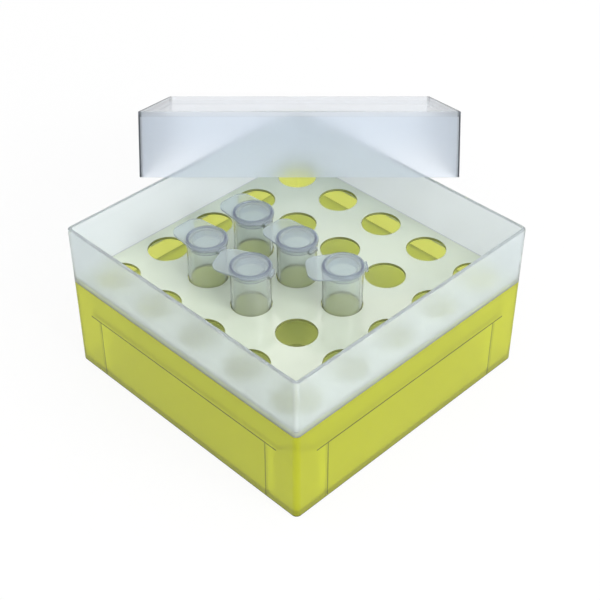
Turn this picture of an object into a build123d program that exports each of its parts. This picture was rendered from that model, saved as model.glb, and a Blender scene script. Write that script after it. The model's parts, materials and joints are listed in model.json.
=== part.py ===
"""Cryogenic storage box for twenty five 5 ml snap-cap tubes, with five tubes in it and its lid off.

The origin is the middle of the underside. X runs along one side of the box and Y along the next,
so the corner between +X and +Y is the one that the lid leans over. Z is up. Millimetres.
"""

import os
from math import cos, radians, sin, sqrt

from build123d import *

os.makedirs("parts", exist_ok=True)

# Clearances
RUNNING_GAP = 0.3  # between pieces that move past each other
FIT_GAP = 0.15  # between moulded pieces that are pushed together

# Tube places, the same in both plates
PLACES = 5
PITCH = 26.4
HOLE_RADIUS = 8.7

# Box outline, shared by the base tray and the upper frame
BOX_MARGIN = 14.4  # from the middle of an outer tube place to the outside of the box
BOX_SIDE = PITCH * (PLACES - 1) + 2 * BOX_MARGIN
BOX_CORNER_RADIUS = 2.4

# Base tray
BASE_HEIGHT = 43.4
BASE_WALL = 1.8
BASE_FLOOR = 2.0
BASE_EDGE_RADIUS = 0.4  # round along the outer bottom edge
BASE_FLOOR_FILLET = 0.5  # round where the floor meets the walls inside
RIB_FROM_CORNER = 17.4  # from the box's corner to the far side of each rib
RIB_THICKNESS = 1.7
RIB_DEPTH = 1.8  # how far the top of a rib stands in from the wall
RIB_DRAFT = 0.6  # how much deeper a rib is at its foot

# Guide plate, which stands on the ribs inside the tray
GUIDE_BOTTOM = 29.7  # height above the table
GUIDE_THICKNESS = 2.5
GUIDE_CORNER_CUT = 8.9  # leg of the 45 degree cut at each corner

# Upper frame
FRAME_HEIGHT = 27.0
FRAME_WALL = 1.8
FRAME_RIM_RADIUS = 0.5  # round on both edges of the open rim
SHELF_THICKNESS = 1.3  # shelf inside the foot of the frame, which carries the divider
TONGUE_THICKNESS = 1.4  # the frame's tongue hangs from the shelf, inside the tray's wall
TONGUE_DEPTH = 2.0

# Divider plate
DIVIDER_THICKNESS = 1.2

# Tube
TUBE_WALL = 1.0
TUBE_LENGTH = 61.8  # foot to rim, without the cap
TUBE_CONE_HEIGHT = 34.7  # foot to the top of the cone
TUBE_FOOT_RADIUS = 3.1
TUBE_FOOT_ROUND = 1.8
TUBE_FLANGE_RADIUS = 8.8
TUBE_FLANGE_THICKNESS = 1.2

# Cap
CAP_RADIUS = 9.05
CAP_DISC_THICKNESS = 1.1
CAP_EDGE_RADIUS = 0.3
CAP_RING_RADIUS = 8.45
CAP_RING_WALL = 1.0
CAP_RING_HEIGHT = 0.4
CAP_RING_EDGE_RADIUS = 0.2
PLUG_DEPTH = 3.0
PLUG_GAP = 0.5  # all round, so that the plug swings clear of the bore
PLUG_WALL = 1.0
TAB_CLEARANCE = 1.4  # between the end of a thumb tab and the hinge of the next tube
TAB_ROOT_REACH = 2.4  # from the tube's axis to where the tab's straight sides start
TAB_ROOT_HALF_WIDTH = 8.6
TAB_END_HALF_WIDTH = 7.4
TAB_CORNER_RADIUS = 5.0
TAB_THICKNESS = 0.8
HINGE_REACH = 10.0  # from the tube's axis to the hinge line
HINGE_WIDTH = 4.4
HINGE_LUG_THICKNESS = 0.5

# Lid, off the box and leaning over its back corner
LID_GAP = 0.4  # between the lid's skirt and the frame when it is on
LID_WALL = 1.6
LID_TOP = 2.0
LID_HEIGHT = 28.2
LID_CORNER_RADIUS = 2.0
LID_EDGE_RADIUS = 0.5
LID_TILT = 27.5  # degrees below level, toward the back
LID_SIDEWAYS = 1.1  # how far the lid lies off the box's diagonal, toward +X
LID_SEAT_GAP = 0.3  # between the lid and the frame, at the corner and where the skirt comes down

# Places that hold a tube: column, row and the direction of its thumb tab in degrees from +X
FILLED_PLACES = [(-1, 1, 90), (0, 1, 90), (0, 0, 90), (-1, 0, 112), (0, -1, 142)]

# Sizes that follow from the others
RIM_HEIGHT = BASE_HEIGHT + FRAME_HEIGHT
DIVIDER_BOTTOM = BASE_HEIGHT + SHELF_THICKNESS
TUBE_FOOT_HEIGHT = BASE_FLOOR + RUNNING_GAP
TUBE_RIM_HEIGHT = TUBE_FOOT_HEIGHT + TUBE_LENGTH
CAP_HEIGHT = TUBE_RIM_HEIGHT + RUNNING_GAP
TAB_REACH = PITCH - HINGE_REACH - TAB_CLEARANCE  # from the tube's axis to the end of the thumb tab


def box_outline(inset, mode=Mode.ADD):
    """The box's rounded outline, moved in from its outer faces."""
    side = BOX_SIDE - 2 * inset
    RectangleRounded(side, side, max(BOX_CORNER_RADIUS - inset, FIT_GAP), mode=mode)


def tube_holes():
    """Cuts the 5 by 5 holes into the sketch of a plate."""
    with GridLocations(PITCH, PITCH, PLACES, PLACES):
        Circle(HOLE_RADIUS, mode=Mode.SUBTRACT)


def tube_planes(column, row, tab_degrees):
    """A level plane at the tube's place, with its x axis along the thumb tab, and an upright one."""
    tab_direction = (cos(radians(tab_degrees)), sin(radians(tab_degrees)), 0)
    level = Plane((column * PITCH, row * PITCH, 0), x_dir=tab_direction, z_dir=(0, 0, 1))
    upright = Plane(level.origin, x_dir=tab_direction, z_dir=-level.y_dir)
    return level, upright


def finish(piece, name):
    """Labels a finished piece and writes it to its file."""
    piece.part.label = name
    export_step(piece.part, f"parts/{name}.step")


# Base tray: an open box with eight ribs that carry the guide plate


def rib_planes():
    """The middle plane of each rib, with its x axis pointing in from the wall and its y axis up."""
    along_wall = BOX_SIDE / 2 - RIB_FROM_CORNER + RIB_THICKNESS / 2
    for degrees in range(0, 360, 90):
        outward = Vector(1, 0, 0).rotate(Axis.Z, degrees)
        along = Vector(0, 1, 0).rotate(Axis.Z, degrees)
        for place in (-along_wall, along_wall):
            foot = outward * (BOX_SIDE / 2 - BASE_WALL) + along * place
            yield Plane(foot, x_dir=-outward, z_dir=along)


with BuildPart() as base_tray:
    with BuildSketch():
        box_outline(0)
    extrude(amount=BASE_HEIGHT)
    fillet(base_tray.faces().sort_by(Axis.Z)[0].edges(), BASE_EDGE_RADIUS)
    with BuildSketch(Plane.XY.offset(BASE_FLOOR)):
        box_outline(BASE_WALL)
    extrude(amount=BASE_HEIGHT, mode=Mode.SUBTRACT)
    tray_floor = base_tray.faces().filter_by(Axis.Z).sort_by(Axis.Z)[1]
    fillet(tray_floor.edges(), BASE_FLOOR_FILLET)
    for rib_plane in rib_planes():
        with BuildSketch(rib_plane):
            with BuildLine():
                Polyline(
                    (-BASE_WALL / 2, BASE_FLOOR / 2),
                    (RIB_DEPTH + RIB_DRAFT, BASE_FLOOR / 2),
                    (RIB_DEPTH, GUIDE_BOTTOM),
                    (-BASE_WALL / 2, GUIDE_BOTTOM),
                    close=True,
                )
            make_face()
        extrude(amount=RIB_THICKNESS / 2, both=True)
finish(base_tray, "base_tray")

# Guide plate: the lower plate, with its corners cut off

with BuildPart() as guide_plate:
    with BuildSketch(Plane.XY.offset(GUIDE_BOTTOM)) as guide_outline:
        guide_side = BOX_SIDE - 2 * (BASE_WALL + FIT_GAP)
        Rectangle(guide_side, guide_side)
        chamfer(guide_outline.vertices(), GUIDE_CORNER_CUT)
        tube_holes()
    extrude(amount=GUIDE_THICKNESS)
finish(guide_plate, "guide_plate")

# Upper frame: four walls flush with the tray, a shelf for the divider and a tongue into the tray

with BuildPart() as upper_frame:
    with BuildSketch(Plane.XY.offset(BASE_HEIGHT)):
        box_outline(0)
        box_outline(FRAME_WALL, mode=Mode.SUBTRACT)
    extrude(amount=FRAME_HEIGHT)
    fillet(upper_frame.faces().sort_by(Axis.Z)[-1].edges(), FRAME_RIM_RADIUS)
    tongue_outer = BASE_WALL + FIT_GAP
    tongue_inner = tongue_outer + TONGUE_THICKNESS
    with BuildSketch(Plane.XY.offset(BASE_HEIGHT)):
        box_outline(FRAME_WALL / 2)
        box_outline(tongue_inner, mode=Mode.SUBTRACT)
    extrude(amount=SHELF_THICKNESS)
    with BuildSketch(Plane.XY.offset(BASE_HEIGHT)):
        box_outline(tongue_outer)
        box_outline(tongue_inner, mode=Mode.SUBTRACT)
    extrude(amount=-TONGUE_DEPTH)
finish(upper_frame, "upper_frame")

# Divider plate: the upper plate, which lies on the frame's shelf

with BuildPart() as divider_plate:
    with BuildSketch(Plane.XY.offset(DIVIDER_BOTTOM)):
        box_outline(FRAME_WALL + FIT_GAP)
        tube_holes()
    extrude(amount=DIVIDER_THICKNESS)
finish(divider_plate, "divider_plate")

# Tubes: a turned conical body with a flange under its rim and a lug for the hinge

TUBE_RADIUS = HOLE_RADIUS - RUNNING_GAP
BORE_RADIUS = TUBE_RADIUS - TUBE_WALL

for number, (column, row, tab_degrees) in enumerate(FILLED_PLACES, start=1):
    level, upright = tube_planes(column, row, tab_degrees)
    cone_top = TUBE_FOOT_HEIGHT + TUBE_CONE_HEIGHT
    flange_foot = TUBE_RIM_HEIGHT - TUBE_FLANGE_THICKNESS
    with BuildPart() as tube:
        with BuildSketch(upright) as tube_section:
            with BuildLine():
                Polyline(
                    (0, TUBE_FOOT_HEIGHT),
                    (TUBE_FOOT_RADIUS, TUBE_FOOT_HEIGHT),
                    (TUBE_RADIUS, cone_top),
                    (TUBE_RADIUS, TUBE_RIM_HEIGHT),
                    (0, TUBE_RIM_HEIGHT),
                    close=True,
                )
            make_face()
            foot_corners = tube_section.vertices().sort_by(Axis.Y)[:2]
            fillet(foot_corners.sort_by(Axis.X)[-1], TUBE_FOOT_ROUND)
            with BuildLine():
                Polyline(
                    (0, TUBE_FOOT_HEIGHT + TUBE_WALL),
                    (TUBE_FOOT_RADIUS - TUBE_WALL, TUBE_FOOT_HEIGHT + TUBE_WALL),
                    (BORE_RADIUS, cone_top),
                    (BORE_RADIUS, TUBE_RIM_HEIGHT),
                    (0, TUBE_RIM_HEIGHT),
                    close=True,
                )
            make_face(mode=Mode.SUBTRACT)
        revolve(axis=Axis(level.origin, level.z_dir))
        with BuildSketch(level.offset(flange_foot)):
            Circle(TUBE_FLANGE_RADIUS)
            with Locations((-(HINGE_REACH + BORE_RADIUS) / 2, 0)):
                Rectangle(HINGE_REACH - BORE_RADIUS, HINGE_WIDTH)
            Circle(BORE_RADIUS, mode=Mode.SUBTRACT)
        extrude(amount=TUBE_FLANGE_THICKNESS)
    finish(tube, f"tube_{number}")

    # Its cap: a disc with a raised ring, a plug for the bore, a thumb tab and a lug for the hinge
    with BuildPart() as tube_cap:
        plug_radius = BORE_RADIUS - PLUG_GAP
        disc_top = CAP_HEIGHT + CAP_DISC_THICKNESS
        with BuildSketch(level.offset(CAP_HEIGHT)):
            Circle(CAP_RADIUS)
        extrude(amount=CAP_DISC_THICKNESS)
        fillet(tube_cap.faces().sort_by(Axis.Z)[-1].edges(), CAP_EDGE_RADIUS)
        with BuildSketch(level.offset(disc_top)):
            Circle(CAP_RING_RADIUS)
            Circle(CAP_RING_RADIUS - CAP_RING_WALL, mode=Mode.SUBTRACT)
        extrude(amount=CAP_RING_HEIGHT)
        fillet(tube_cap.faces().sort_by(Axis.Z)[-1].edges(), CAP_RING_EDGE_RADIUS)
        with BuildSketch(level.offset(CAP_HEIGHT)):
            Circle(plug_radius)
            Circle(plug_radius - PLUG_WALL, mode=Mode.SUBTRACT)
        extrude(amount=-PLUG_DEPTH)
        with BuildSketch(level.offset(CAP_HEIGHT)) as tab_outline:
            with BuildLine():
                Polyline(
                    (TAB_ROOT_REACH, -TAB_ROOT_HALF_WIDTH),
                    (TAB_REACH, -TAB_END_HALF_WIDTH),
                    (TAB_REACH, TAB_END_HALF_WIDTH),
                    (TAB_ROOT_REACH, TAB_ROOT_HALF_WIDTH),
                    close=True,
                )
            make_face()
            tab_end = tab_outline.vertices().sort_by(Axis.X)[-2:]
            fillet(tab_end, TAB_CORNER_RADIUS)
        extrude(amount=TAB_THICKNESS)
        with BuildSketch(level.offset(CAP_HEIGHT)):
            with Locations((-(HINGE_REACH + BORE_RADIUS) / 2, 0)):
                Rectangle(HINGE_REACH - BORE_RADIUS, HINGE_WIDTH)
        extrude(amount=HINGE_LUG_THICKNESS)
    finish(tube_cap, f"tube_cap_{number}")

# Lid: a shallow cover that slips over the outside of the frame

LID_CAVITY_SIDE = BOX_SIDE + 2 * LID_GAP
LID_SIDE = LID_CAVITY_SIDE + 2 * LID_WALL

# The frame's back corner, along the diagonal from the middle of the box
CORNER_REACH = BOX_SIDE / sqrt(2) - BOX_CORNER_RADIUS * (sqrt(2) - 1)
tilt = radians(LID_TILT)
skirt_height = LID_HEIGHT * cos(tilt) + LID_WALL * sin(tilt)
front_edge_height = RIM_HEIGHT + skirt_height + LID_SEAT_GAP
slope_drop = (front_edge_height - RIM_HEIGHT) * cos(tilt) - LID_TOP - LID_SEAT_GAP
front_reach = CORNER_REACH - slope_drop / sin(tilt)
backward = Vector(1, 1, 0).normalized()
down_the_slope = backward * cos(tilt) - Vector(0, 0, sin(tilt))
sideways = Vector(1, -1, 0).normalized()
front_edge = backward * front_reach + sideways * LID_SIDEWAYS + Vector(0, 0, front_edge_height)
lid_plane = Plane(
    front_edge + down_the_slope * (LID_SIDE / 2),
    x_dir=sideways,
    z_dir=backward * sin(tilt) + Vector(0, 0, cos(tilt)),
)

with BuildPart() as lid:
    with BuildSketch(lid_plane.offset(-LID_HEIGHT)):
        RectangleRounded(LID_SIDE, LID_SIDE, LID_CORNER_RADIUS)
    extrude(amount=LID_HEIGHT)
    lid_up = Axis(lid_plane.origin, lid_plane.z_dir)
    fillet(lid.faces().sort_by(lid_up)[-1].edges(), LID_EDGE_RADIUS)
    with BuildSketch(lid_plane.offset(-LID_HEIGHT)):
        RectangleRounded(LID_CAVITY_SIDE, LID_CAVITY_SIDE, max(LID_CORNER_RADIUS - LID_WALL, FIT_GAP))
    extrude(amount=LID_HEIGHT - LID_TOP, mode=Mode.SUBTRACT)
finish(lid, "lid")
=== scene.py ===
import json
from math import cos, pi, radians, sin, sqrt

import bpy
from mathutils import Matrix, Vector


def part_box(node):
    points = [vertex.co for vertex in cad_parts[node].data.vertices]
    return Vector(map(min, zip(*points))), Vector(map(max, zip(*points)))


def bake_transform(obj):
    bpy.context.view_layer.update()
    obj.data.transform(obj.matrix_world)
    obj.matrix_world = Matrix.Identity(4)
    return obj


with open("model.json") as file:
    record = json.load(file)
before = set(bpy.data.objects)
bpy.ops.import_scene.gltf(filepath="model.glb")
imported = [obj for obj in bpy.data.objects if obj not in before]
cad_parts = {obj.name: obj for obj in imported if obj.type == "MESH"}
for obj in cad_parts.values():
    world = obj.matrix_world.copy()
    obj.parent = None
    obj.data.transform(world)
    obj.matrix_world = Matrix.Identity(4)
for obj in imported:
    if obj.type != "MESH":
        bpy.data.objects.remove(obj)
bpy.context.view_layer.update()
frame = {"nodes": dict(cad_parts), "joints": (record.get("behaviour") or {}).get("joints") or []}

MM = 0.001


def extent(node):
    """The lowest and highest corner of a solid, in millimetres."""
    low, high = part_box(node)
    return low / MM, high / MM


# Sizes that the finishes follow, in millimetres

HALF_SIDE = extent("base_tray")[1].x
TRAY_TOP = extent("base_tray")[1].z
TRAY_WALL = 1.8
TRAY_FLOOR = 2.0
RIB_FROM_CORNER = 17.4
RIB_THICKNESS = 1.7
GUIDE_HALF_SIDE = extent("guide_plate")[1].x
GUIDE_BOTTOM = extent("guide_plate")[0].z
GUIDE_CORNER_CUT = 8.9
RIM_TOP = extent("upper_frame")[1].z
PLATE_TOP = extent("divider_plate")[1].z
HOLE_PITCH = 26.4
HOLE_RADIUS = 8.7
CAP_RING_OUTSIDE = 8.45
CAP_RING_INSIDE = 7.45

# The lid leans: its front top edge lies across the diagonal of the box, at this reach and height
LID_SIDE = 138.4
LID_WALL = 1.6
LID_TOP = 2.0
LID_TILT = radians(27.5)
LID_FRONT_REACH = 48.98
LID_FRONT_HEIGHT = 96.45
LID_SIDEWAYS = 1.1

# Colours as a screen shows them, from 0 to 255

TRAY_YELLOW = (196, 199, 15)
# Painted light: a paler copy of the tray's yellow for its inner faces
TRAY_INSIDE_LIT = (250, 253, 190)
# Painted glow: the colour of light that the tray's inner faces and the guide plate give off, standing in
# for light scattered inside the plastic
INNER_GLOW = (204, 210, 160)
# Dark colour for the lines of the ribs and guide plate, and for painted shade at the bottom edge and where
# the tray is seen edge-on
TRAY_LINE_AND_SHADE = (60, 62, 4)
GUIDE_YELLOW = (238, 243, 176)
# Dark colour for the guide plate's edges and for painted shade on its hole walls
GUIDE_EDGE_AND_SHADE = (90, 94, 10)
FRAME_FROST = (238, 245, 246)
# Painted light: a lighter copy of the frame's frost for its inner faces
FRAME_INSIDE_LIT = (247, 253, 255)
# Dark colour for the frame's rim, foot and shelf lines, and for painted shade where the frame is seen
# edge-on
FRAME_LINE_AND_SHADE = (110, 120, 140)
DIVIDER_MILK = (242, 252, 229)
# Colour of the painted shade on the divider's hole walls
DIVIDER_HOLE_SHADE_COLOUR = (120, 124, 50)
LID_FROST = (242, 248, 255)
LID_PANE = (158, 172, 194)
# Dark colour for painted shade over the lid's side walls and corners, and for its thin back line
LID_LINE_AND_SHADE = (50, 54, 62)
TUBE_CLEAR = (248, 253, 252)
# Colour of the painted shade where a tube is seen edge-on
TUBE_EDGE_SHADE_COLOUR = (60, 66, 62)
CAP_CLEAR = (228, 238, 244)
CAP_RING = (128, 138, 180)
# Colour of the painted shade where a cap is seen edge-on
CAP_EDGE_SHADE_COLOUR = (80, 88, 100)

# How strongly each line or shade shows, from 0 to 1

RIB_FACE_LINE = 0.95
RIB_SHADE = 0.22
TRAY_EDGE_SHADE = 0.7
GUIDE_HOLE_SHADE = 0.6
RIM_LINE = 0.4
FRAME_FOOT_LINE = 0.1
PLATE_LINE = 0.6
FRAME_EDGE_SHADE = 0.5
DIVIDER_HOLE_SHADE = 0.9
LID_SIDE_SHADE = 0.8
LID_BACK_LINE = 0.15
LID_CORNER_SHADE = 0.25
TUBE_EDGE_SHADE = 0.9
CAP_RING_SHADE = 0.6
CAP_EDGE_SHADE = 0.8

# How much of the light goes through each plastic, how rough its surface is, and how strongly the painted
# glow on the tray and the guide plate shows

TRAY_TRANSMISSION = 0.74
TRAY_ROUGHNESS = 0.3
TRAY_GLOW_STRENGTH = 0.26
GUIDE_TRANSMISSION = 0.75
GUIDE_ROUGHNESS = 0.28
GUIDE_GLOW_STRENGTH = 0.07
FRAME_TRANSMISSION = 0.78
FRAME_ROUGHNESS = 0.38
DIVIDER_TRANSMISSION = 0.15
DIVIDER_ROUGHNESS = 0.5
DIVIDER_GLOSS_ROUGHNESS = 0.09
LID_TRANSMISSION = 0.88
LID_PANE_ROUGHNESS = 0.03
LID_PANE_ALPHA = 0.5
TUBE_TRANSMISSION = 0.86
TUBE_ROUGHNESS = 0.12
CAP_TRANSMISSION = 0.75
CAP_ROUGHNESS = 0.14
ROUGHNESS_CHANGE = 0.05


def srgb(red, green, blue):
    """A colour as a screen shows it, from 0 to 255, turned into light."""
    channels = [c / 255 for c in (red, green, blue)]
    light = [c / 12.92 if c <= 0.04045 else ((c + 0.055) / 1.055) ** 2.4 for c in channels]
    return (*light, 1.0)


class Level:
    """A number that changes over a surface. Arithmetic on it adds the nodes that work it out."""

    def __init__(self, finish, socket):
        self.finish, self.socket = finish, socket

    def math(self, operation, *terms):
        return self.finish.node("ShaderNodeMath", {"operation": operation}, dict(enumerate(terms)))

    def __add__(self, other):
        return self.math("ADD", self, other)

    def __sub__(self, other):
        return self.math("SUBTRACT", self, other)

    def __rsub__(self, other):
        return self.math("SUBTRACT", other, self)

    def __mul__(self, other):
        return self.math("MULTIPLY", self, other)

    def __truediv__(self, other):
        return self.math("DIVIDE", self, other)

    def __pow__(self, other):
        return self.math("POWER", self, other)

    def __abs__(self):
        return self.math("ABSOLUTE", self)

    __radd__ = __add__
    __rmul__ = __mul__

    def at_least(self, other):
        return self.math("MAXIMUM", self, other)

    def at_most(self, other):
        return self.math("MINIMUM", self, other)

    def rise(self, start, end):
        """0 before start and 1 after end, smooth in between."""
        settings = {"interpolation_type": "SMOOTHSTEP"}
        return self.finish.node("ShaderNodeMapRange", settings, {0: self, 1: start, 2: end})

    def fall(self, start, end):
        """1 before start and 0 after end."""
        return 1 - self.rise(start, end)

    def band(self, low, high, soft):
        """1 between low and high, fading to 0 over the width soft on both sides."""
        return self.rise(low - soft, low + soft) * self.fall(high - soft, high + soft)

    def repeat(self, step):
        """How far the number is from the nearest multiple of step."""
        return abs(self.math("WRAP", self, step / 2, -step / 2))


class Finish:
    """The nodes of one material, or of the world."""

    def __init__(self, tree):
        self.tree = tree
        self.tree.nodes.clear()

    def node(self, kind, settings=None, inputs=None, output=0):
        """Adds a node of that kind, sets it up and returns one of its outputs."""
        made = self.tree.nodes.new(kind)
        for name, value in (settings or {}).items():
            setattr(made, name, value)
        for name, value in (inputs or {}).items():
            if isinstance(value, Level):
                self.tree.links.new(value.socket, made.inputs[name])
            else:
                made.inputs[name].default_value = value
        return Level(self, made.outputs[output]) if made.outputs else None

    def place(self):
        """Where the point is on the piece: x, y and z in millimetres."""
        point = self.node("ShaderNodeTexCoord", output="Object")
        return [self.node("ShaderNodeSeparateXYZ", inputs={0: point}, output=i) / MM for i in range(3)]

    def noise(self, size, detail=2.0):
        """Cloudy variation from 0 to 1, with lumps of that size in millimetres."""
        point = self.node("ShaderNodeTexCoord", output="Object")
        inputs = {"Vector": point, "Scale": 1 / (size * MM), "Detail": detail}
        return self.node("ShaderNodeTexNoise", inputs=inputs)

    def edge_on(self, start=0.75, end=1.0):
        """1 where the surface is seen along itself; the finishes paint shade into the base colour there,
        where plastic looks deeper.
        """
        facing = self.node("ShaderNodeLayerWeight", inputs={"Blend": 0.5}, output="Facing")
        return facing.rise(start, end)

    def blend(self, amount, first, second):
        """One colour that turns into another as amount goes from 0 to 1."""
        return self.node("ShaderNodeMix", {"data_type": "RGBA"}, {0: amount, 6: first, 7: second}, output=2)

    def clouded(self, cloud, colour, depth):
        """A colour that is up to that many levels darker where the cloud is thick."""
        darker = [channel - depth for channel in colour]
        return self.blend(cloud, srgb(*colour), srgb(*darker))

    def bump(self, height, depth):
        """Relief from a height of 0 to 1, that many millimetres deep."""
        return self.node("ShaderNodeBump", inputs={"Height": height, "Distance": depth * MM})

    def is_ray(self, *kinds):
        """1 for rays of these kinds."""
        seen = [self.node("ShaderNodeLightPath", output=f"Is {kind} Ray") for kind in kinds]
        return sum(seen[1:], seen[0]).at_most(1.0)

    def wear(self, shader, kind="ShaderNodeOutputMaterial"):
        """Makes that shader the surface of the material or the world."""
        self.node(kind, inputs={"Surface": shader})


def material(name):
    made = bpy.data.materials.new(name)
    made.use_nodes = True
    return made, Finish(made.node_tree)


def plastic(made, finish, **sockets):
    """Gives the material a plastic surface with these values or links."""
    inputs = {name.replace("_", " "): value for name, value in sockets.items()}
    finish.wear(finish.node("ShaderNodeBsdfPrincipled", inputs=inputs))
    return made


def put_on(finish, *nodes):
    for name in nodes:
        slots = frame["nodes"][name].data.materials
        slots.clear()
        slots.append(finish)


# Where things are on the pieces


def reach(x, y):
    """How far out the point is towards the nearest side of the box."""
    return abs(x).at_least(abs(y))


def from_tube_place(finish):
    """How far the point is from the middle of the nearest tube place, seen from above."""
    x, y, _ = finish.place()
    across, along = x.repeat(HOLE_PITCH), y.repeat(HOLE_PITCH)
    return (across * across + along * along) ** 0.5


def hole_walls(finish):
    """1 on the walls of the 25 tube holes, which both plates have in the same places."""
    return from_tube_place(finish).fall(HOLE_RADIUS + 0.02, HOLE_RADIUS + 0.08)


def rib_marks(finish):
    """The ribs, which touch the tray's walls from inside and show through them."""
    x, y, z = finish.place()
    along = abs(x).at_most(abs(y))
    start = HALF_SIDE - RIB_FROM_CORNER
    near_face = along.band(start, start + 0.5, 0.25) * RIB_FACE_LINE
    whole = along.band(start, start + RIB_THICKNESS, 0.3) * RIB_SHADE
    under_plate = z.fall(GUIDE_BOTTOM - 0.2, GUIDE_BOTTOM + 0.1)
    on_wall = reach(x, y).rise(HALF_SIDE - 0.6, HALF_SIDE - 0.2)
    return near_face.at_least(whole) * under_plate * on_wall


def guide_mark(finish):
    """The lower edge of the guide plate, which shows through the tray's walls as a thin line."""
    x, y, z = finish.place()
    end = HALF_SIDE - GUIDE_CORNER_CUT - 2.0
    line = z.band(GUIDE_BOTTOM - 0.1, GUIDE_BOTTOM + 0.55, 0.12)
    up_to_cut = abs(x).at_most(abs(y)).fall(end - 0.3, end + 0.3)
    on_wall = reach(x, y).rise(HALF_SIDE - 0.6, HALF_SIDE - 0.2)
    return line * up_to_cut * on_wall


# Finishes


def tray_plastic():
    made, finish = material("tray plastic")
    cloud = finish.noise(30.0)
    x, y, z = finish.place()
    inner_face = HALF_SIDE - TRAY_WALL
    in_from_wall = reach(x, y).fall(inner_face + 0.2, inner_face + 0.6)
    inside = in_from_wall * z.rise(TRAY_FLOOR - 0.8, TRAY_FLOOR - 0.2)
    # The inner faces take the paler yellow, a painted lightening of the tray's own colour
    clean = finish.blend(inside, finish.clouded(cloud, TRAY_YELLOW, 6), srgb(*TRAY_INSIDE_LIT))
    # Painted shade: a dark band along the bottom edge
    bottom_edge_shade = z.fall(0.45, 0.85)
    lines = rib_marks(finish).at_least(guide_mark(finish)).at_least(bottom_edge_shade)
    # Painted shade where the tray is seen edge-on, added to the lines of the ribs and the guide plate
    shade = lines.at_least(finish.edge_on(0.82, 1.0) * TRAY_EDGE_SHADE)
    return plastic(
        made,
        finish,
        Base_Color=finish.blend(shade, clean, srgb(*TRAY_LINE_AND_SHADE)),
        Roughness=TRAY_ROUGHNESS + cloud * ROUGHNESS_CHANGE,
        Transmission_Weight=TRAY_TRANSMISSION,
        IOR=1.4,
        Specular_IOR_Level=0.35,
        # Painted glow on the inner faces, standing in for light scattered inside the plastic
        Emission_Color=finish.blend(inside, srgb(0, 0, 0), srgb(*INNER_GLOW)),
        Emission_Strength=TRAY_GLOW_STRENGTH,
        Normal=finish.bump(finish.noise(0.6), 0.015),
    )


def guide_plastic():
    made, finish = material("guide plate plastic")
    cloud = finish.noise(30.0)
    x, y, _ = finish.place()
    side = reach(x, y).rise(GUIDE_HALF_SIDE - 0.15, GUIDE_HALF_SIDE - 0.05)
    cut_line = 2 * GUIDE_HALF_SIDE - GUIDE_CORNER_CUT
    cut = (abs(x) + abs(y)).rise(cut_line - 0.2, cut_line - 0.05)
    # The sides and corner cuts are dark edges; the hole walls get painted shade
    edges_and_hole_shade = side.at_least(cut).at_least(hole_walls(finish) * GUIDE_HOLE_SHADE)
    return plastic(
        made,
        finish,
        Base_Color=finish.blend(edges_and_hole_shade, finish.clouded(cloud, GUIDE_YELLOW, 6), srgb(*GUIDE_EDGE_AND_SHADE)),
        Roughness=GUIDE_ROUGHNESS + cloud * ROUGHNESS_CHANGE,
        Transmission_Weight=GUIDE_TRANSMISSION,
        IOR=1.4,
        # Painted glow over the whole guide plate, standing in for light scattered inside the plastic
        Emission_Color=srgb(*INNER_GLOW),
        Emission_Strength=GUIDE_GLOW_STRENGTH,
    )


def frame_plastic():
    made, finish = material("frame plastic")
    cloud = finish.noise(25.0)
    x, y, z = finish.place()
    outside = reach(x, y).rise(HALF_SIDE - 0.4, HALF_SIDE - 0.1)
    rim = z.rise(RIM_TOP - 0.2, RIM_TOP - 0.05) * RIM_LINE
    foot = z.band(TRAY_TOP, TRAY_TOP + 0.35, 0.12) * outside * FRAME_FOOT_LINE
    plate_line = z.band(PLATE_TOP, PLATE_TOP + 0.3, 0.1) * (1 - outside) * PLATE_LINE
    # Rim, foot and shelf lines, with painted shade where the frame is seen edge-on
    lines_and_shade = rim.at_least(foot).at_least(plate_line).at_least(finish.edge_on(0.85, 1.0) * FRAME_EDGE_SHADE)
    # The inner faces take the lighter copy, a painted lightening of the frame's own colour
    clean = finish.blend(outside, srgb(*FRAME_INSIDE_LIT), finish.clouded(cloud, FRAME_FROST, 5))
    return plastic(
        made,
        finish,
        Base_Color=finish.blend(lines_and_shade, clean, srgb(*FRAME_LINE_AND_SHADE)),
        Roughness=FRAME_ROUGHNESS + cloud * ROUGHNESS_CHANGE,
        Transmission_Weight=FRAME_TRANSMISSION,
        IOR=1.35,
        Normal=finish.bump(finish.noise(0.5), 0.015),
    )


def divider_plastic():
    made, finish = material("divider plate plastic")
    cloud = finish.noise(40.0)
    clean = finish.clouded(cloud, DIVIDER_MILK, 5)
    return plastic(
        made,
        finish,
        # Painted shade: the hole walls are darkened to olive
        Base_Color=finish.blend(hole_walls(finish) * DIVIDER_HOLE_SHADE, clean, srgb(*DIVIDER_HOLE_SHADE_COLOUR)),
        Roughness=DIVIDER_ROUGHNESS + cloud * ROUGHNESS_CHANGE,
        Transmission_Weight=DIVIDER_TRANSMISSION,
        IOR=1.5,
        Coat_Weight=0.9,
        Coat_Roughness=DIVIDER_GLOSS_ROUGHNESS,
        Coat_IOR=2.3,
    )


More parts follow.
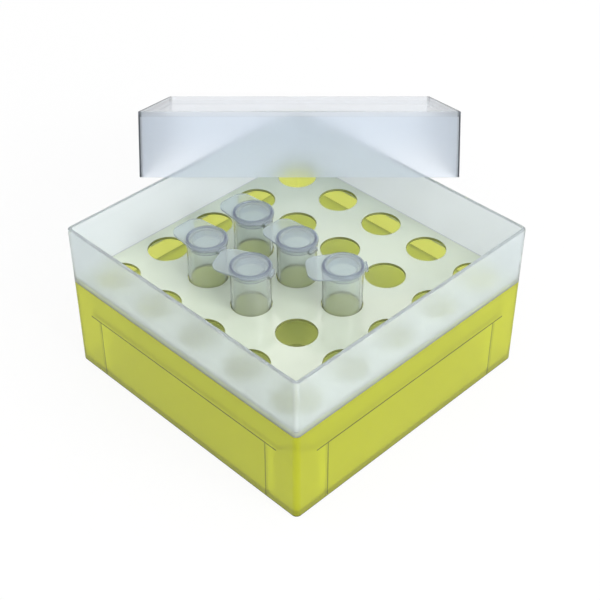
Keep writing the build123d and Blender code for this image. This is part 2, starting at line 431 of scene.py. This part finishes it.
def lid_plastic():
    made, finish = material("lid plastic")
    cloud = finish.noise(25.0)
    x, y, z = finish.place()
    across = abs((x - y) / sqrt(2) - LID_SIDEWAYS)
    backward = (x + y) / sqrt(2) - LID_FRONT_REACH
    upward = z - LID_FRONT_HEIGHT
    height = backward * sin(LID_TILT) + upward * cos(LID_TILT)
    along = abs(backward * cos(LID_TILT) - upward * sin(LID_TILT) - LID_SIDE / 2)
    wall = LID_SIDE / 2 - LID_WALL
    top = height.rise(-LID_TOP - 0.6, -LID_TOP - 0.1)
    pane = top * across.fall(wall - 0.1, wall) * along.fall(wall - 0.1, wall)
    # Painted shade over the side walls seen through the clear top, then a thin line on the back edge
    side_wall_shade = top * across.rise(wall - 0.1, wall + 0.1) * LID_SIDE_SHADE
    back_line = top * (x + y).rise(0.0, 1.0) * along.rise(wall + 0.6, wall + 0.9) * LID_BACK_LINE
    # Painted shade at the corners
    corner_shade = across.rise(wall + 0.5, wall + 0.8) * along.rise(wall, wall + 0.3)
    near_corner = across.rise(wall - 0.2, wall + 0.2) * LID_CORNER_SHADE
    lines_and_shade = side_wall_shade.at_least(corner_shade).at_least(near_corner).at_least(back_line)
    clean = finish.blend(pane, finish.clouded(cloud, LID_FROST, 5), srgb(*LID_PANE))
    return plastic(
        made,
        finish,
        Base_Color=finish.blend(lines_and_shade, clean, srgb(*LID_LINE_AND_SHADE)),
        Roughness=FRAME_ROUGHNESS - pane * (FRAME_ROUGHNESS - LID_PANE_ROUGHNESS),
        Alpha=1 - pane * (1 - LID_PANE_ALPHA),
        Transmission_Weight=LID_TRANSMISSION,
        IOR=1.3,
    )


def tube_plastic():
    made, finish = material("tube plastic")
    cloud = finish.noise(12.0)
    # Painted shade: a darker base colour where the tube is seen edge-on
    edge_on_shade = finish.edge_on(0.65, 1.0) * TUBE_EDGE_SHADE
    return plastic(
        made,
        finish,
        Base_Color=finish.blend(edge_on_shade, finish.clouded(cloud, TUBE_CLEAR, 8), srgb(*TUBE_EDGE_SHADE_COLOUR)),
        Roughness=TUBE_ROUGHNESS + cloud * ROUGHNESS_CHANGE,
        Transmission_Weight=TUBE_TRANSMISSION,
        IOR=1.4,
    )


def cap_plastic():
    made, finish = material("cap plastic")
    cloud = finish.noise(12.0)
    ring = from_tube_place(finish).band(CAP_RING_INSIDE, CAP_RING_OUTSIDE, 0.2) * CAP_RING_SHADE
    ringed = finish.blend(ring, finish.clouded(cloud, CAP_CLEAR, 8), srgb(*CAP_RING))
    return plastic(
        made,
        finish,
        # Painted shade: a darker base colour where the cap is seen edge-on, over the ring
        Base_Color=finish.blend(finish.edge_on(0.7, 1.0) * CAP_EDGE_SHADE, ringed, srgb(*CAP_EDGE_SHADE_COLOUR)),
        Roughness=CAP_ROUGHNESS + cloud * ROUGHNESS_CHANGE,
        Transmission_Weight=CAP_TRANSMISSION,
        IOR=1.4,
    )


TUBE_NUMBERS = range(1, 6)
CAP_FINISH = cap_plastic()

put_on(tray_plastic(), "base_tray")
put_on(guide_plastic(), "guide_plate")
put_on(frame_plastic(), "upper_frame")
put_on(divider_plastic(), "divider_plate")
put_on(lid_plastic(), "lid")
put_on(tube_plastic(), *[f"tube_{number}" for number in TUBE_NUMBERS])
put_on(CAP_FINISH, *[f"tube_cap_{number}" for number in TUBE_NUMBERS])


# Hinge straps, the thin webs between the tubes and their caps, in millimetres

STRAP_WIDTH = 4.0
STRAP_THICKNESS = 0.45
STRAP_WAIST = 0.12  # how much each side of the web is hollowed at the hinge line
STRAP_HALF_HEIGHT = 0.45
STRAP_STEPS_UP = 8
STRAP_STEPS_ACROSS = 12


def away_from_tube(number, hinge, axis):
    """The level direction from the tube's middle to its hinge."""
    low, high = extent(f"tube_{number}")
    middle = Vector(((low.x + high.x) / 2, (low.y + high.y) / 2, hinge.z))
    outward = axis.cross(Vector((0, 0, 1)))
    return -outward if outward.dot(hinge - middle) < 0 else outward


def strap_points(hinge, axis, outward):
    """Two sheets of points, the outer and the inner side of a web that is thinnest at the hinge line."""
    points = []
    for side in (-1, 1):
        for up in range(STRAP_STEPS_UP + 1):
            height = STRAP_HALF_HEIGHT * (2 * up / STRAP_STEPS_UP - 1)
            waist = STRAP_WAIST * cos(pi * height / (2 * STRAP_HALF_HEIGHT))
            depth = side * (STRAP_THICKNESS / 2 - waist) - STRAP_THICKNESS / 2
            for step in range(STRAP_STEPS_ACROSS + 1):
                place = STRAP_WIDTH * (step / STRAP_STEPS_ACROSS - 0.5)
                points.append(hinge + axis * place + outward * depth + Vector((0, 0, height)))
    return points


def strap_faces():
    """Faces over both sheets of a strap and around its edge."""
    row = STRAP_STEPS_ACROSS + 1
    sheet = (STRAP_STEPS_UP + 1) * row
    faces = []
    for up in range(STRAP_STEPS_UP):
        first, last = up * row, up * row + STRAP_STEPS_ACROSS
        for a in range(first, last):
            faces.append((a, a + 1, a + row + 1, a + row))
            faces.append((sheet + a, sheet + a + row, sheet + a + row + 1, sheet + a + 1))
        faces.append((first, first + row, sheet + first + row, sheet + first))
        faces.append((last, sheet + last, sheet + last + row, last + row))
    top = STRAP_STEPS_UP * row
    for step in range(STRAP_STEPS_ACROSS):
        faces.append((step, sheet + step, sheet + step + 1, step + 1))
        faces.append((top + step, top + step + 1, sheet + top + step + 1, sheet + top + step))
    return faces


def hinge_strap(number):
    """A web on the hinge line, from inside the tube's lug to inside the cap's."""
    joint = next(j for j in frame["joints"] if j["name"] == f"cap_hinge_{number}")
    hinge, axis = Vector(joint["pos_m"]) / MM, Vector(joint["axis"])
    points = strap_points(hinge, axis, away_from_tube(number, hinge, axis))
    mesh = bpy.data.meshes.new(f"hinge_strap_{number}")
    mesh.from_pydata([point * MM for point in points], [], strap_faces())
    mesh.validate()
    for face in mesh.polygons:
        face.use_smooth = True
    mesh.materials.append(CAP_FINISH)
    strap = bpy.data.objects.new(mesh.name, mesh)
    bpy.context.scene.collection.objects.link(strap)
    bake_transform(strap)


for number in TUBE_NUMBERS:
    hinge_strap(number)


# Camera, where the photograph was taken from, in metres

CAMERA_PLACE = (-0.30665, -0.30853, 0.3847)
CAMERA_ELEVATION = radians(39.0)
CAMERA_LENS = 78.3

camera_data = bpy.data.cameras.new("camera")
camera_data.lens = CAMERA_LENS
camera_data.sensor_width = 36.0
camera_data.clip_start, camera_data.clip_end = 0.02, 20.0
camera = bpy.data.objects.new("camera", camera_data)
bpy.context.scene.collection.objects.link(camera)
camera.location = CAMERA_PLACE
level = cos(CAMERA_ELEVATION) / sqrt(2)
camera.rotation_mode = "QUATERNION"
camera.rotation_quaternion = Vector((level, level, -sin(CAMERA_ELEVATION))).to_track_quat("-Z", "Y")
bpy.context.scene.camera = camera


# Floor, world and lamp

WHITE = (1.0, 1.0, 1.0, 1.0)
FLOOR_GREY = (0.95, 0.95, 0.95, 1.0)
FLOOR_RADIUS = 2.5
FLOOR_HEIGHT = -0.0002  # just under the box, so that the two faces don't fight
FLOOR_SEEN_WHITE = 0.9  # share of the floor's look that is plain white; the rest takes the shadow
WORLD_LIGHT = 0.9


def floor_finish():
    made, finish = material("floor")
    matt = finish.node("ShaderNodeBsdfDiffuse", inputs={"Color": FLOOR_GREY})
    white = finish.node("ShaderNodeEmission", inputs={"Color": WHITE})
    seen = finish.is_ray("Camera", "Glossy", "Transmission") * FLOOR_SEEN_WHITE
    finish.wear(finish.node("ShaderNodeMixShader", inputs={0: seen, 1: matt, 2: white}))
    return made


bpy.ops.mesh.primitive_circle_add(
    vertices=96, radius=FLOOR_RADIUS, fill_type="NGON", location=(0, 0, FLOOR_HEIGHT)
)
floor = bpy.context.object
floor.name = "floor"
floor.data.materials.append(floor_finish())

world = bpy.data.worlds.new("studio")
world.use_nodes = True
bpy.context.scene.world = world
sky = Finish(world.node_tree)
strength = WORLD_LIGHT + sky.is_ray("Camera", "Glossy", "Transmission") * (1 - WORLD_LIGHT)
light = sky.node("ShaderNodeBackground", inputs={"Color": WHITE, "Strength": strength})
sky.wear(light, "ShaderNodeOutputWorld")


def lamp(name, place, size, power):
    """A round soft lamp that points at the box."""
    data = bpy.data.lights.new(name, "AREA")
    data.shape, data.size, data.energy = "DISK", size, power
    made = bpy.data.objects.new(name, data)
    bpy.context.scene.collection.objects.link(made)
    made.location = place
    made.rotation_mode = "QUATERNION"
    made.rotation_quaternion = (Vector((0, 0, PLATE_TOP * MM)) - Vector(place)).to_track_quat("-Z", "Y")


lamp("key lamp", (0.05, -0.95, 0.6), 0.7, 7.0)

bpy.context.scene.view_settings.view_transform = "Standard"
